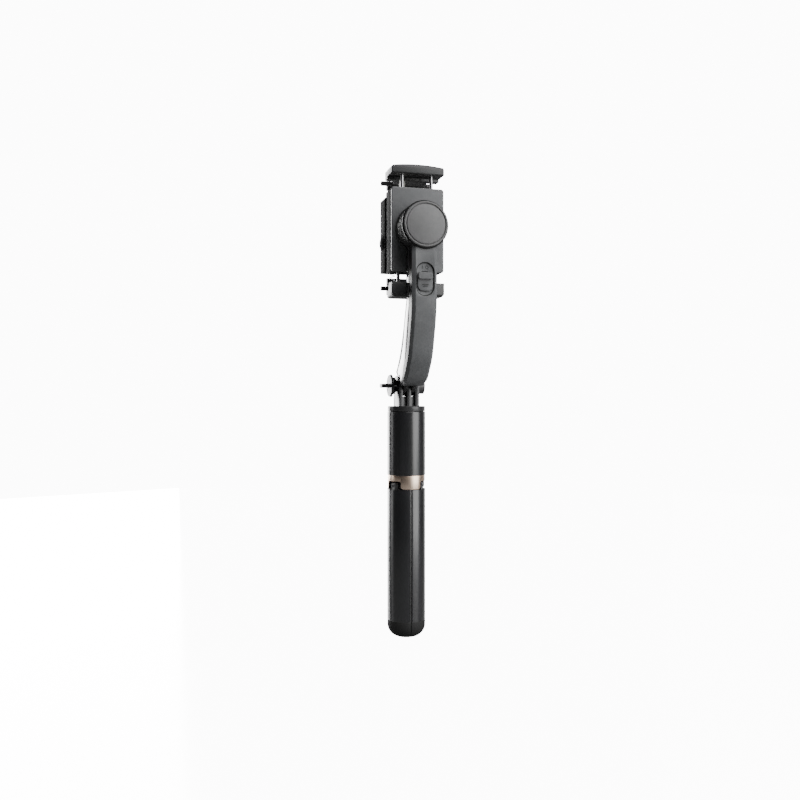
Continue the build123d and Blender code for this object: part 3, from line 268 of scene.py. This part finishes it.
# %% The plastic recipe
DUST_TONE = (0.42, 0.40, 0.37, 1.0)
DARKER = 0.88
LIGHTER = 1.14


def plastic(
    name,
    tone,
    roughness,
    grain_mm=0.006,
    grain_scale=2600.0,
    coat=0.0,
    dust=0.25,
    variation=0.12,
    specular=0.5,
):
    material = bpy.data.materials.new(name)
    material.use_nodes = True
    tree = material.node_tree
    shader = tree.nodes["Principled BSDF"]
    grain = tree.nodes.new("ShaderNodeGroup")
    grain.node_tree = grain_group
    grain.inputs["Grain Scale"].default_value = grain_scale
    grain.inputs["Unevenness"].default_value = variation
    dusty = tree.nodes.new("ShaderNodeGroup")
    dusty.node_tree = dust_group
    dusty.inputs["Amount"].default_value = dust
    ramp = tree.nodes.new("ShaderNodeMix")
    ramp.data_type = "RGBA"
    ramp.inputs["A"].default_value = (*[DARKER * channel for channel in tone], 1.0)
    ramp.inputs["B"].default_value = (*[LIGHTER * channel for channel in tone], 1.0)
    tree.links.new(grain.outputs["Tone"], ramp.inputs["Factor"])
    dusted = tree.nodes.new("ShaderNodeMix")
    dusted.data_type = "RGBA"
    dusted.inputs["B"].default_value = DUST_TONE
    tree.links.new(ramp.outputs["Result"], dusted.inputs["A"])
    tree.links.new(dusty.outputs["Mask"], dusted.inputs["Factor"])
    tree.links.new(dusted.outputs["Result"], shader.inputs["Base Color"])
    gloss = math_node(tree, "ADD", grain.outputs["Gloss Shift"], roughness)
    tree.links.new(gloss, shader.inputs["Roughness"])
    bump = tree.nodes.new("ShaderNodeBump")
    bump.inputs["Strength"].default_value = 0.35
    bump.inputs["Distance"].default_value = grain_mm * MM
    tree.links.new(grain.outputs["Height"], bump.inputs["Height"])
    tree.links.new(bump.outputs["Normal"], shader.inputs["Normal"])
    shader.inputs["Specular IOR Level"].default_value = specular
    if coat:
        shader.inputs["Coat Weight"].default_value = coat
        shader.inputs["Coat Roughness"].default_value = 0.12
    return material


# %% [markdown]
# ## Metals
# The ring is anodised aluminium, turned, so its fine lines run round it. The tubes and rods are
# drawn steel, with lines along them. One recipe makes both, since only tone and lines differ.

# %% The metal recipe
def metal(name, tone, roughness, across=1800.0, along=25.0, depth_mm=0.003):
    material = bpy.data.materials.new(name)
    material.use_nodes = True
    tree = material.node_tree
    shader = tree.nodes["Principled BSDF"]
    shader.inputs["Base Color"].default_value = (*tone, 1.0)
    shader.inputs["Metallic"].default_value = 1.0
    drawn = tree.nodes.new("ShaderNodeGroup")
    drawn.node_tree = drawn_group
    drawn.inputs["Across"].default_value = across
    drawn.inputs["Along"].default_value = along
    gloss = math_node(tree, "ADD", drawn.outputs["Gloss Shift"], roughness)
    tree.links.new(gloss, shader.inputs["Roughness"])
    bump = tree.nodes.new("ShaderNodeBump")
    bump.inputs["Strength"].default_value = 0.25
    bump.inputs["Distance"].default_value = depth_mm * MM
    tree.links.new(drawn.outputs["Height"], bump.inputs["Height"])
    tree.links.new(bump.outputs["Normal"], shader.inputs["Normal"])
    return material


# %% [markdown]
# ## Painted shade on the cover's walls
# The arm's cover has a charcoal face. Its walls that look along X get a painted shade, near black, for the
# dark sides of the arm. Two materials on one mesh would do, but the wall and the face meet in a bevel,
# so a mask from the way the surface faces is cleaner.

# %% Painted shade on the walls of a moulding
def painted_shade_walls(material, painted_shade_tone):
    """The walls that look along X get a painted shade: a darker tone than the face between them."""
    tree = material.node_tree
    shader = tree.nodes["Principled BSDF"]
    before = shader.inputs["Base Color"].links[0].from_socket
    geometry = tree.nodes.new("ShaderNodeNewGeometry")
    turn = tree.nodes.new("ShaderNodeVectorTransform")
    turn.vector_type = "NORMAL"
    turn.convert_from = "WORLD"
    turn.convert_to = "OBJECT"
    tree.links.new(geometry.outputs["Normal"], turn.inputs[0])
    split = tree.nodes.new("ShaderNodeSeparateXYZ")
    tree.links.new(turn.outputs[0], split.inputs[0])
    sideways = math_node(tree, "ABSOLUTE", split.outputs["X"], 0.0)
    # wall is the painted shade mask: it is 1 where the surface looks along X.
    wall = math_node(tree, "MULTIPLY", math_node(tree, "SUBTRACT", sideways, 0.85), 10.0)
    wall = math_node(tree, "MINIMUM", math_node(tree, "MAXIMUM", wall, 0.0), 1.0)
    mix = tree.nodes.new("ShaderNodeMix")
    mix.data_type = "RGBA"
    mix.inputs["B"].default_value = (*painted_shade_tone, 1.0)
    tree.links.new(wall, mix.inputs["Factor"])
    tree.links.new(before, mix.inputs["A"])
    tree.links.new(mix.outputs["Result"], shader.inputs["Base Color"])


# %% [markdown]
# ## Tones and gloss
# The arm and the clamp's plate are one charcoal, the motor's cap a touch lighter, the jaws darker.
# The handle is a glossy black and the arm's rear shell is polished. Rubber and knurl stay dull.

# %% The finishes of this gimbal
satin_charcoal = plastic("satin_charcoal", (0.125, 0.128, 0.132), 0.44, specular=0.3)
cover_charcoal_painted_shade = plastic("cover_charcoal_painted_shade", (0.125, 0.128, 0.132), 0.44, specular=0.3)
# The cover's walls get a painted shade, near black.
painted_shade_walls(cover_charcoal_painted_shade, (0.006, 0.006, 0.006))
motor_face = plastic("motor_face", (0.145, 0.145, 0.147), 0.46, specular=0.35)
jaw_charcoal = plastic("jaw_charcoal", (0.032, 0.033, 0.034), 0.40)
gloss_shell = plastic("gloss_shell", (0.05, 0.05, 0.05), 0.14, coat=1.0, variation=0.04, specular=0.9)
handle_black = plastic("handle_black", (0.016, 0.016, 0.018), 0.31, coat=0.4, variation=0.04, specular=0.8)
cap_black = plastic("cap_black", (0.035, 0.035, 0.037), 0.34, coat=0.2, variation=0.05)
matte_black = plastic("matte_black", (0.010, 0.010, 0.011), 0.8, grain_mm=0.01, specular=0.08)
knob_black = plastic("knob_black", (0.014, 0.014, 0.015), 0.35)
knurl_black = plastic("knurl_black", (0.012, 0.012, 0.013), 0.42, specular=0.3)
# Black for the printed marks, and for the painted shade lines in the switch's grooves.
print_and_painted_shade_black = plastic("print_and_painted_shade_black", (0.006, 0.006, 0.006), 0.6, dust=0.0)
rubber = plastic("rubber", (0.014, 0.014, 0.014), 0.75, grain_mm=0.02, grain_scale=1500.0, dust=0.5)
champagne = metal("champagne", (0.95, 0.75, 0.60), 0.34, across=60.0, along=2600.0)
steel = metal("steel", (0.50, 0.50, 0.51), 0.22)
dark_steel = metal("dark_steel", (0.16, 0.16, 0.165), 0.34)
nylon = plastic("nylon", (0.70, 0.69, 0.64), 0.5, dust=0.0)
copper = metal("copper", (0.80, 0.38, 0.18), 0.3, across=3000.0, along=3000.0)
green_board = plastic("green_board", (0.015, 0.11, 0.05), 0.35, dust=0.0)
cell_wrap = plastic("cell_wrap", (0.30, 0.33, 0.36), 0.35, dust=0.0)
print("finishes:", len(bpy.data.materials))

# %% [markdown]
# ## Pieces
# Every node gets its finish first. The plastic ones whose edges show, and the ring, are then made
# again as moulded copies; the small parts inside keep the CAD's own surface.

# %% Finish for every node
# Each slot has its usual finish; a few nodes have their own.
finish_of_slot = {
    "satin_shell": satin_charcoal,
    "handle_black": handle_black,
    "matte_black": matte_black,
    "rubber": rubber,
    "accent_metal": champagne,
    "bright_steel": steel,
    "dark_steel": dark_steel,
    "copper_wire": copper,
    "circuit_board": green_board,
    "cell_wrap": cell_wrap,
    "white_nylon": nylon,
}
finish_of_node = {
    "arm_front_cover": cover_charcoal_painted_shade,
    "arm_rear_shell": gloss_shell,
    "motor_cap": motor_face,
    "motor_housing": knurl_black,
    "jaw_upper": jaw_charcoal,
    "jaw_lower": jaw_charcoal,
    "power_slider": satin_charcoal,
    "thumb_knob": knob_black,
    "stick_cap": cap_black,
}
for node, item in frame["nodes"].items():
    finish = finish_of_node.get(node, finish_of_slot[slot_of_node[node]])
    item.data.materials.clear()
    item.data.materials.append(finish)

# %% [markdown]
# ## Widths of the rounding
# The bevel is in millimetres. It is wide on the jaws and the arm and thin on what fits closely.
# Where an edge is short, the bevel's own clamp keeps it from running into the next one.

# %% Moulded copies
edge_widths = {
    "clamp_front_plate": 0.25,
    "clamp_front_shell": 0.4,
    "clamp_rear_shell": 0.4,
    "jaw_upper": 0.45,
    "jaw_lower": 0.45,
    "jaw_rubbers_upper": 0.3,
    "jaw_rubbers_lower": 0.3,
    "back_rest_pad": 0.2,
    "motor_cap": 0.25,
    "arm_front_cover": 0.35,
    "arm_rear_shell": 0.4,
    "power_slider": 0.2,
    "thumb_knob": 0.3,
    "stick_cap": 0.3,
    "grip_sleeve": 0.15,
    "accent_ring": 0.2,
    "leg_1": 0.25,
    "leg_2": 0.25,
    "leg_3": 0.25,
    "foot_1": 0.4,
    "foot_2": 0.4,
    "foot_3": 0.4,
}
for node, width in edge_widths.items():
    finish = finish_of_node.get(node, finish_of_slot[slot_of_node[node]])
    moulded(node, finish, edge_mm=width)

# %% [markdown]
# ## A lathe
# Round pieces are turned on a lathe, and spin is Blender's lathe: it sweeps a closed profile round
# an axis. A full turn ends where it began, so the seam is merged and the normals made outward.

# %% Lathe helper
SEAM_DISTANCE = 0.0001 * MM


def lathe(bm, profile, centre, axis, steps):
    corners = [bm.verts.new(point) for point in profile]
    sides = [bm.edges.new(pair) for pair in zip(corners, corners[1:] + corners[:1])]
    bmesh.ops.spin(
        bm,
        geom=corners + sides,
        cent=centre,
        axis=axis,
        angle=2 * math.pi,
        steps=steps,
        use_merge=True,
    )
    bmesh.ops.remove_doubles(bm, verts=bm.verts, dist=SEAM_DISTANCE)
    bmesh.ops.recalc_face_normals(bm, faces=bm.faces)


# %% [markdown]
# ## The seal under the cap
# The cap closes on the grip over a thin dark ring that keeps dust out of the tubes. It rides with
# the cap, so it lifts off when the stick is pulled out.

# %% Seal ring
SEAL_STEPS = 96
seal_outside = 13.1 * MM
seal_inside = 8.4 * MM
grip_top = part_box("grip_sleeve")[1][2]
seal_top = grip_top + 0.3 * MM
seal_bottom = grip_top + 0.03 * MM
seal_profile = [
    (seal_outside, 0.0, seal_bottom),
    (seal_outside, 0.0, seal_top),
    (seal_inside, 0.0, seal_top),
    (seal_inside, 0.0, seal_bottom),
]
bm = bmesh.new()
lathe(bm, seal_profile, (0.0, 0.0, 0.0), (0.0, 0.0, 1.0), SEAL_STEPS)
piece_from(bm, "cap_seal", "head", rubber)

# %% [markdown]
# ## The jaw springs
# Each tension spring hooks to the clamp's body at one end and to a jaw at the other, so it
# grows and shrinks as the jaws slide. A mesh that rides one body can't do that. Here each spring is
# a smoothed copy of its CAD mesh, set in place and tied to no body, so it does not stretch.

# %% Springs between clamp and jaws
def stretched_spring(node, jaw):
    bm = bmesh.new()
    bm.from_mesh(frame["nodes"][node].data)
    bmesh.ops.remove_doubles(bm, verts=bm.verts, dist=MERGE_DISTANCE)
    smooth_by_angle(bm, 50)
    mesh = bpy.data.meshes.new(node + "_stretched")
    bm.to_mesh(mesh)
    bm.free()
    spring = bpy.data.objects.new(node + "_stretched", mesh)
    bpy.context.scene.collection.objects.link(spring)
    mesh.materials.append(steel)
    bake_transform(spring)
    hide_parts(node)
    print(node, "stretches between clamp and", jaw)


stretched_spring("jaw_spring_upper", "upper_jaw")
stretched_spring("jaw_spring_lower", "lower_jaw")

# %% [markdown]
# ## The motor's knurled grip
# The outside of the motor housing is cut with a diamond knurl, so that fingers can turn the arm
# against it. Real knurling is rolled or moulded; here a lathe profile is swept round the motor's
# axis with a cut in it, and the rows of the cut are raised in a diamond pattern, which costs few
# faces and gives a true outline. A bump map would leave the outline smooth, and it shows against the plate.

# %% Measures of the housing
KNURLS_AROUND = 46
KNURL_DEPTH = 0.55 * MM
STEPS_PER_KNURL = 4
KNURL_ROWS = 30

housing_low, housing_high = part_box("motor_housing")
motor_y_back = housing_high[1]
motor_y_front = housing_low[1]
motor_z = (housing_low[2] + housing_high[2]) / 2
motor_radius = (housing_high[0] - housing_low[0]) / 2
rim = 0.6 * MM
wall = 2.1 * MM
floor_thick = 1.6 * MM
neck_hole = 6.1 * MM
lip = 0.1 * MM
knurl_start = motor_y_back - 1.6 * MM
knurl_end = motor_y_front + 1.2 * MM
print("motor radius", motor_radius, "at height", motor_z)

# %% Profile of the housing, as radius and place along Y
inside = motor_radius - wall
knurl_floor = motor_radius - KNURL_DEPTH
profile = [
    (neck_hole, motor_y_back),
    (motor_radius - rim, motor_y_back),
    (motor_radius, motor_y_back - rim),
    (motor_radius, knurl_start),
]
for row in range(KNURL_ROWS + 1):
    share = row / KNURL_ROWS
    profile.append((knurl_floor, knurl_start + (knurl_end - knurl_start) * share))
profile += [
    (motor_radius - lip, knurl_end),
    (motor_radius - lip, motor_y_front + rim),
    (motor_radius - rim, motor_y_front),
    (inside, motor_y_front),
    (inside, motor_y_back - floor_thick),
    (neck_hole, motor_y_back - floor_thick),
]

# %% Turn it, then raise the knurl from the floor of its cut
bm = bmesh.new()
lathe(
    bm,
    [(radius, y, motor_z) for radius, y in profile],
    (0.0, 0.0, motor_z),
    (0.0, -1.0, 0.0),
    KNURLS_AROUND * STEPS_PER_KNURL,
)
tiny = 0.001 * MM
raised_points = 0
for vert in bm.verts:
    outward = Vector((vert.co.x, 0.0, vert.co.z - motor_z))
    in_rows = knurl_end - tiny < vert.co.y < knurl_start + tiny
    if not in_rows or abs(outward.length - knurl_floor) > tiny:
        continue
    along = (knurl_start - vert.co.y) / (knurl_start - knurl_end) * KNURL_ROWS / STEPS_PER_KNURL
    around = math.atan2(outward.z, outward.x) / (2 * math.pi) * KNURLS_AROUND
    across_up = abs((around + along) % 1.0 - 0.5) * 2
    across_down = abs((around - along) % 1.0 - 0.5) * 2
    vert.co += outward.normalized() * KNURL_DEPTH * (1.0 - max(across_up, across_down))
    raised_points += 1
print("knurl points:", raised_points)
bmesh.ops.recalc_face_normals(bm, faces=bm.faces)
smooth_by_angle(bm, 12)
knurled_housing = piece_from(bm, "motor_housing_knurled", "arm", knurl_black)
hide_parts("motor_housing")

# %% [markdown]
# ## Marks of the switch, and painted shade round it
# The switch's recess carries an on mark and an off mark, and the slider two short grip lines.
# They are printed or moulded shallow; thin solid bars read the same and need no image. The dark
# outlines round the recess and round the slider are painted shade for the shade in the grooves there.

# %% Tools for flat marks
MARK_THICK = 0.1 * MM
OUTLINE_STEPS = 64


def add_bar(bm, x, y, z, width, height):
    place = Matrix.Translation((x, y, z)) @ Matrix.Diagonal((width, MARK_THICK, height, 1.0))
    bmesh.ops.create_cube(bm, size=1.0, matrix=place)


def add_outline(bm, x, y, z, width, height, line):
    """A flat closed line round a slot shape: a circle pulled apart in height, then inset."""
    facing_front = Matrix.Rotation(math.radians(90), 4, "X")
    half_step = Matrix.Rotation(math.pi / OUTLINE_STEPS, 4, "Z")
    place = Matrix.Translation((x, y - MARK_THICK / 2, z)) @ facing_front @ half_step
    made = bmesh.ops.create_circle(
        bm, cap_ends=True, segments=OUTLINE_STEPS, radius=width / 2, matrix=place
    )
    straight = max((height - width) / 2, 0.0)
    for vert in made["verts"]:
        vert.co.z += straight if vert.co.z > z else -straight
    inner = made["verts"][0].link_faces[0]
    band = bmesh.ops.inset_region(bm, faces=[inner], thickness=line, use_boundary=True)
    bmesh.ops.delete(bm, geom=[inner], context="FACES_ONLY")
    raised = bmesh.ops.extrude_face_region(bm, geom=band["faces"], use_keep_orig=True)
    raised_verts = [item for item in raised["geom"] if isinstance(item, bmesh.types.BMVert)]
    bmesh.ops.translate(bm, vec=(0.0, MARK_THICK, 0.0), verts=raised_verts)


# %% The marks on the arm, and a painted shade line round the recess
slider_low, slider_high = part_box("power_slider")
recess_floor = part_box("arm_front_cover")[0][1] + 1.2 * MM
mark_face = recess_floor + 0.03 * MM
recess_middle = slider_low[2] + 8.0 * MM
mark_height = slider_high[2] + 3.6 * MM

bm = bmesh.new()
add_bar(bm, -1.9 * MM, mark_face, mark_height, 0.6 * MM, 2.4 * MM)
add_outline(bm, 1.4 * MM, mark_face, mark_height, 2.2 * MM, 2.6 * MM, 0.5 * MM)
# Painted shade: a dark outline round the recess, for the shade in the groove at its edge.
add_outline(bm, 0.0, mark_face, recess_middle, 13.3 * MM, 23.4 * MM, 0.75 * MM)
bmesh.ops.recalc_face_normals(bm, faces=bm.faces)
piece_from(bm, "switch_marks_and_groove_shade", "arm", print_and_painted_shade_black)

# %% The lines on the slider, and a painted shade line round it
slider_middle = (slider_low[2] + slider_high[2]) / 2
lines_y = slider_low[1] + 1.1 * MM
bm = bmesh.new()
for drop, width in ((8.4, 4.6), (9.6, 3.6)):
    add_bar(bm, 0.0, lines_y, slider_high[2] - drop * MM, width * MM, 0.35 * MM)
# Painted shade: a dark outline round the slider, for the shade in the gap round it.
add_outline(bm, 0.0, recess_floor - 0.1 * MM, slider_middle, 11.2 * MM, 13.4 * MM, 0.6 * MM)
bmesh.ops.recalc_face_normals(bm, faces=bm.faces)
piece_from(bm, "slider_lines_and_groove_shade", "switch", print_and_painted_shade_black)

# %% [markdown]
# ## Stage, light and camera
# The object stands in a white studio. A tall soft light at the right front lays the long highlight
# on the handle; the front left stays dark, which keeps the blacks black; a bright white panel
# behind on the left is mirrored at a low angle by the smooth faces that look that way. Floor and
# surround are white to the eye but give little light, so that faces turned down stay dark.

# %% Floor and surround
WHITE_TO_THE_EYE = 12.0
SURROUND_GLOW = 0.03
FLOOR_SIZE = 6.0
FLOOR_GAP = 0.5 * MM

bm = bmesh.new()
bmesh.ops.create_grid(bm, x_segments=1, y_segments=1, size=FLOOR_SIZE)
bmesh.ops.translate(bm, vec=(0, 0, cad_box[0][2] - FLOOR_GAP), verts=bm.verts)
floor_mesh = bpy.data.meshes.new("floor")
bm.to_mesh(floor_mesh)
bm.free()
floor = bpy.data.objects.new("floor", floor_mesh)
bpy.context.scene.collection.objects.link(floor)
pale = bpy.data.materials.new("pale_floor")
pale.use_nodes = True
shader = pale.node_tree.nodes["Principled BSDF"]
shader.inputs["Base Color"].default_value = (0.25, 0.25, 0.25, 1.0)
shader.inputs["Roughness"].default_value = 0.12
shader.inputs["IOR"].default_value = 2.0
shader.inputs["Emission Color"].default_value = (1.0, 1.0, 1.0, 1.0)
path = pale.node_tree.nodes.new("ShaderNodeLightPath")
seen = math_node(pale.node_tree, "MULTIPLY", path.outputs["Is Camera Ray"], WHITE_TO_THE_EYE)
pale.node_tree.links.new(seen, shader.inputs["Emission Strength"])
floor_mesh.materials.append(pale)

world = bpy.data.worlds.new("surround")
bpy.context.scene.world = world
world.use_nodes = True
tree = world.node_tree
background = tree.nodes["Background"]
background.inputs["Color"].default_value = (1.0, 1.0, 1.0, 1.0)
path = tree.nodes.new("ShaderNodeLightPath")
seen = math_node(tree, "MULTIPLY", path.outputs["Is Camera Ray"], WHITE_TO_THE_EYE)
tree.links.new(math_node(tree, "ADD", seen, SURROUND_GLOW), background.inputs["Strength"])


# %% [markdown]
# ## Lights
# Each light is a soft rectangle that stands on a circle round the object, so a compass angle, a
# height and a distance place it. The camera doesn't see the lights; smooth faces mirror them.

# %% Lights
def panel(name, azimuth, height, distance, width, tall, power):
    """A soft rectangular light that faces the object from a compass direction around it."""
    turn = math.radians(azimuth)
    place = Vector((math.sin(turn) * distance, -math.cos(turn) * distance, height))
    target = Vector((0.0, 0.0, 0.03))
    light = bpy.data.lights.new(name, "AREA")
    light.shape = "RECTANGLE"
    light.size = width
    light.size_y = tall
    light.energy = power
    lamp = bpy.data.objects.new(name, light)
    lamp.location = place
    lamp.rotation_euler = (target - place).to_track_quat("-Z", "Y").to_euler()
    lamp.visible_camera = False
    bpy.context.scene.collection.objects.link(lamp)
    return lamp


panel("key", 44.0, 0.30, 1.0, 0.75, 1.3, 14.0)
panel("behind_left", -160.0, 0.10, 1.1, 0.5, 1.3, 27.0)
panel("side_left", -113.0, 0.10, 1.1, 0.24, 1.3, 2.2)
panel("behind_right", 125.0, 0.15, 1.1, 0.5, 1.3, 1.8)
panel("top_front", 15.0, 0.95, 0.75, 0.8, 0.5, 8.0)

# %% [markdown]
# ## Camera
# An ordinary lens at the height of the stick's cap, a little to the left of the front, shows the
# face of the arm and the left walls of the clamp at once.

# %% Camera
camera_data = bpy.data.cameras.new("camera")
camera_data.sensor_width = 36.0
camera_data.lens = 38.25
camera = bpy.data.objects.new("camera", camera_data)
camera.location = (-0.1716, -0.6054, 0.0318)
camera.rotation_euler = (math.radians(90.0), 0.0, math.radians(-15.4))
bpy.context.scene.collection.objects.link(camera)
bpy.context.scene.camera = camera
